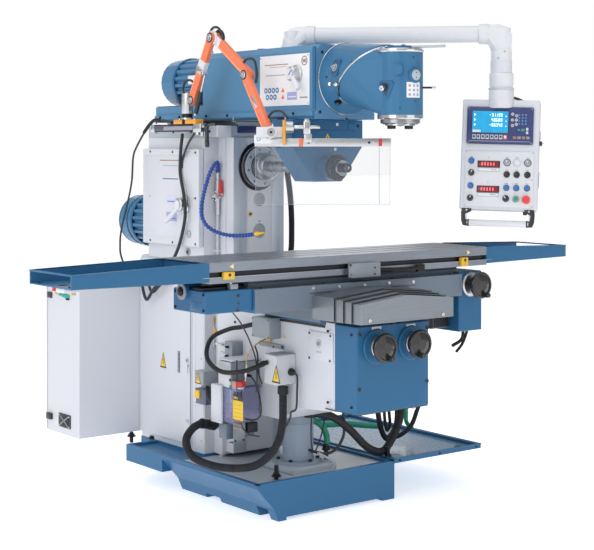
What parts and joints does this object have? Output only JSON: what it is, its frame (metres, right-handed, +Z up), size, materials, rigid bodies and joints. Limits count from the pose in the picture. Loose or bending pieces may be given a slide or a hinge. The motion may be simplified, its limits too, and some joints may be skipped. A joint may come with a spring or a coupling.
{
  "type": "universal milling machine",
  "caption": "Knee-type universal milling machine with horizontal arbor spindle, sliding ram, double-swivel vertical head, long T-slot table and swinging control pendant.",
  "frame": {"origin": "on the floor, below the centre plane of the machine at the face of the column's vertical ways", "axes": "+Z up; +X to the operator's right, along the table; +Y from the operator towards the column, so the operator stands at -Y"},
  "size_m": [2.798, 2.2524, 2.2326],
  "materials": {
    "blue_paint": "semi-gloss, light orange peel",
    "white_paint": "satin powder coat",
    "grey_paint": "satin paint on cast iron",
    "ground_steel": "ground and oiled",
    "way_cover_steel": "brushed sheet",
    "dark_steel": "blackened",
    "black_plastic": "polished phenolic",
    "black_metal": "matt black enamel",
    "aluminium": "turned, satin",
    "orange_paint": "semi-gloss",
    "clear_plastic": "clear polycarbonate",
    "red_plastic": "gloss",
    "green_plastic": "gloss",
    "tank_plastic": "translucent"
  },
  "bodies": {
    "machine": {"base_casting": "blue_paint", "chip_tray": "blue_paint", "elevating_pillar": "grey_paint", "column_casting": "white_paint", "ram_guide_slab": "grey_paint", "gearbox_cover": "white_paint", "electrical_cabinet": "white_paint", "spindle_motor": "blue_paint", "spindle_motor_cowl": "blue_paint", "spindle_bearing": "ground_steel", "coolant_tap": "aluminium", "guard_mount": "dark_steel"},
    "column_door_leaf": {"column_door": "white_paint"},
    "cabinet_door_leaf": {"cabinet_door": "white_paint"},
    "main_switch_knob": {"main_switch": "red_plastic"},
    "column_lever": {"column_speed_lever": "aluminium"},
    "drive_shaft": {"motor_pinion": "ground_steel"},
    "main_spindle": {"horizontal_spindle": "ground_steel", "bull_gear": "ground_steel", "milling_arbor": "ground_steel"},
    "coolant_lever": {"coolant_valve_lever": "red_plastic"},
    "knee": {"knee_casting": "white_paint", "knee_gearbox": "blue_paint", "knee_control_box": "grey_paint", "lube_pump": "grey_paint", "lube_reservoir": "tank_plastic", "way_cover_4": "way_cover_steel"},
    "knee_screw": {"knee_leadscrew": "ground_steel"},
    "y_wheel": {"y_handwheel": "black_plastic"},
    "z_wheel": {"z_handwheel": "black_plastic"},
    "saddle": {"saddle_casting": "blue_paint", "table_guide": "grey_paint", "x_gearbox": "blue_paint", "x_servo_housing": "blue_paint", "x_servo_motor": "black_metal", "way_cover_1": "way_cover_steel"},
    "cover_2": {"way_cover_2": "way_cover_steel"},
    "cover_3": {"way_cover_3": "way_cover_steel"},
    "x_wheel": {"x_handwheel": "black_plastic"},
    "x_screw": {"x_leadscrew": "ground_steel"},
    "table": {"milling_table": "ground_steel", "table_tray_left": "blue_paint", "table_tray_right": "blue_paint"},
    "ram": {"ram_casting": "blue_paint", "ram_motor": "blue_paint", "ram_motor_cowl": "blue_paint"},
    "ram_lever": {"ram_speed_lever": "aluminium"},
    "support": {"arbor_support": "blue_paint"},
    "head": {"head_swivel_body": "blue_paint"},
    "spindle_head": {"spindle_housing": "blue_paint"},
    "head_spindle": {"vertical_spindle": "ground_steel"},
    "arm": {"pendant_arm": "white_paint"},
    "panel": {"pendant_box": "white_paint"},
    "estop": {"estop_button": "red_plastic"},
    "start": {"start_button": "green_plastic"},
    "guard_swivel": {"guard_post": "aluminium"},
    "guard_1": {"guard_link_1": "orange_paint"},
    "guard_2": {"guard_link_2": "orange_paint"},
    "guard_3": {"guard_link_3": "orange_paint"},
    "guard_shield": {"guard_panel": "clear_plastic"}
  },
  "joints": [
    {"name": "column_door_hinge", "type": "hinge", "parent": "machine", "child": "column_door_leaf", "pos_m": [-0.234, 0.706, 0.655], "axis": [0, 0, 1], "range_deg": [-85, 0]},
    {"name": "cabinet_door_hinge", "type": "hinge", "parent": "machine", "child": "cabinet_door_leaf", "pos_m": [-0.231, 1.052, 0.632], "axis": [0, 0, 1], "range_deg": [-100, 0]},
    {"name": "main_switch_turn", "type": "hinge", "parent": "machine", "child": "main_switch_knob", "pos_m": [-0.5935, 0.905, 0.96], "axis": [1, 0, 0], "range_deg": [-90, 0]},
    {"name": "column_lever_turn", "type": "hinge", "parent": "machine", "child": "column_lever", "pos_m": [-0.2625, 0.245, 1.389], "axis": [1, 0, 0], "range_deg": [-60, 60]},
    {"name": "main_spindle_turn", "type": "hinge", "parent": "machine", "child": "main_spindle", "pos_m": [0, 0, 1.576], "axis": [0, 1, 0], "continuous": true},
    {"name": "drive_shaft_turn", "type": "hinge", "parent": "machine", "child": "drive_shaft", "pos_m": [0, 0, 1.276], "axis": [0, 1, 0], "continuous": true},
    {"name": "coolant_valve_turn", "type": "hinge", "parent": "machine", "child": "coolant_lever", "pos_m": [-0.162, 0.094, 1.44], "axis": [0, 1, 0], "range_deg": [-90, 0]},
    {"name": "knee_lift", "type": "slide", "parent": "machine", "child": "knee", "axis": [0, 0, 1], "range_m": [-0.14, 0.21]},
    {"name": "knee_screw_turn", "type": "hinge", "parent": "knee", "child": "knee_screw", "pos_m": [0, -0.319, 0.6], "axis": [0, 0, 1], "range_deg": [-5050, 7560]},
    {"name": "y_handwheel_turn", "type": "hinge", "parent": "knee", "child": "y_wheel", "pos_m": [-0.1, -1.062, 0.815], "axis": [0, 1, 0], "continuous": true},
    {"name": "z_handwheel_turn", "type": "hinge", "parent": "knee", "child": "z_wheel", "pos_m": [0.1, -1.062, 0.815], "axis": [0, 1, 0], "continuous": true},
    {"name": "saddle_slide", "type": "slide", "parent": "knee", "child": "saddle", "axis": [0, 1, 0], "range_m": [-0.03, 0.27]},
    {"name": "cover_2_slide", "type": "slide", "parent": "knee", "child": "cover_2", "axis": [0, 1, 0], "range_m": [-0.0205, 0.1805]},
    {"name": "cover_3_slide", "type": "slide", "parent": "knee", "child": "cover_3", "axis": [0, 1, 0], "range_m": [-0.0105, 0.0905]},
    {"name": "x_handwheel_turn", "type": "hinge", "parent": "saddle", "child": "x_wheel", "pos_m": [0.697, -0.838, 1.018], "axis": [0, 1, 0], "continuous": true},
    {"name": "table_traverse", "type": "slide", "parent": "saddle", "child": "table", "axis": [1, 0, 0], "range_m": [-0.55, 0.55]},
    {"name": "x_screw_turn", "type": "hinge", "parent": "saddle", "child": "x_screw", "pos_m": [0, -0.607, 1.056], "axis": [1, 0, 0], "range_deg": [-19800, 19800]},
    {"name": "ram_slide", "type": "slide", "parent": "machine", "child": "ram", "axis": [0, 1, 0], "range_m": [0, 0.3]},
    {"name": "ram_lever_turn", "type": "hinge", "parent": "ram", "child": "ram_lever", "pos_m": [-0.1765, -0.534, 2], "axis": [1, 0, 0], "range_deg": [-60, 60]},
    {"name": "arbor_support_slide", "type": "slide", "parent": "ram", "child": "support", "axis": [0, -1, 0], "range_m": [-0.15, 0]},
    {"name": "head_swivel", "type": "hinge", "parent": "ram", "child": "head", "pos_m": [0, -0.6715, 1.977], "axis": [0, 1, 0], "range_deg": [-180, 180]},
    {"name": "spindle_head_swivel", "type": "hinge", "parent": "head", "child": "spindle_head", "pos_m": [0, -0.855, 1.985], "axis": [0, -0.7071, -0.7071], "range_deg": [-165, 165]},
    {"name": "head_spindle_turn", "type": "hinge", "parent": "spindle_head", "child": "head_spindle", "pos_m": [0, -1.037, 1.9], "axis": [0, 0, 1], "continuous": true},
    {"name": "pendant_arm_swing", "type": "hinge", "parent": "ram", "child": "arm", "pos_m": [0, -0.288, 2.13], "axis": [0, 0, 1], "range_deg": [-20, 110]},
    {"name": "pendant_turn", "type": "hinge", "parent": "arm", "child": "panel", "pos_m": [0.681, -0.977, 2], "axis": [0, 0, 1], "range_deg": [-90, 90]},
    {"name": "estop_press", "type": "slide", "parent": "panel", "child": "estop", "axis": [0.7558, 0.6398, -0.1392], "range_m": [0, 0.005]},
    {"name": "start_press", "type": "slide", "parent": "panel", "child": "start", "axis": [0.7558, 0.6398, -0.1392], "range_m": [0, 0.004]},
    {"name": "guard_swing", "type": "hinge", "parent": "machine", "child": "guard_swivel", "pos_m": [-0.33, 0.124, 1.83], "axis": [0, 0, -1], "range_deg": [0, 170]},
    {"name": "guard_arm_1", "type": "hinge", "parent": "guard_swivel", "child": "guard_1", "pos_m": [-0.332, 0.078, 1.894], "axis": [-1, 0, 0], "range_deg": [-12, 8]},
    {"name": "guard_arm_2", "type": "hinge", "parent": "guard_1", "child": "guard_2", "pos_m": [-0.308, -0.085, 2.184], "axis": [-1, 0, 0], "range_deg": [-8, 8]},
    {"name": "guard_arm_3", "type": "hinge", "parent": "guard_2", "child": "guard_3", "pos_m": [-0.332, -0.357, 1.998], "axis": [-1, 0, 0], "range_deg": [-12, 12]},
    {"name": "guard_shield_tilt", "type": "hinge", "parent": "guard_3", "child": "guard_shield", "pos_m": [-0.308, -0.537, 1.734], "axis": [-1, 0, 0], "range_deg": [-45, 20]}
  ],
  "couplings": [
    {"joint": "cover_2_slide", "follows": "saddle_slide", "ratio": 0.666},
    {"joint": "cover_3_slide", "follows": "saddle_slide", "ratio": 0.333},
    {"joint": "drive_shaft_turn", "follows": "main_spindle_turn", "ratio": -0.6},
    {"joint": "x_screw_turn", "follows": "table_traverse", "rad_per_m": 628},
    {"joint": "knee_screw_turn", "follows": "knee_lift", "rad_per_m": 628}
  ]
}
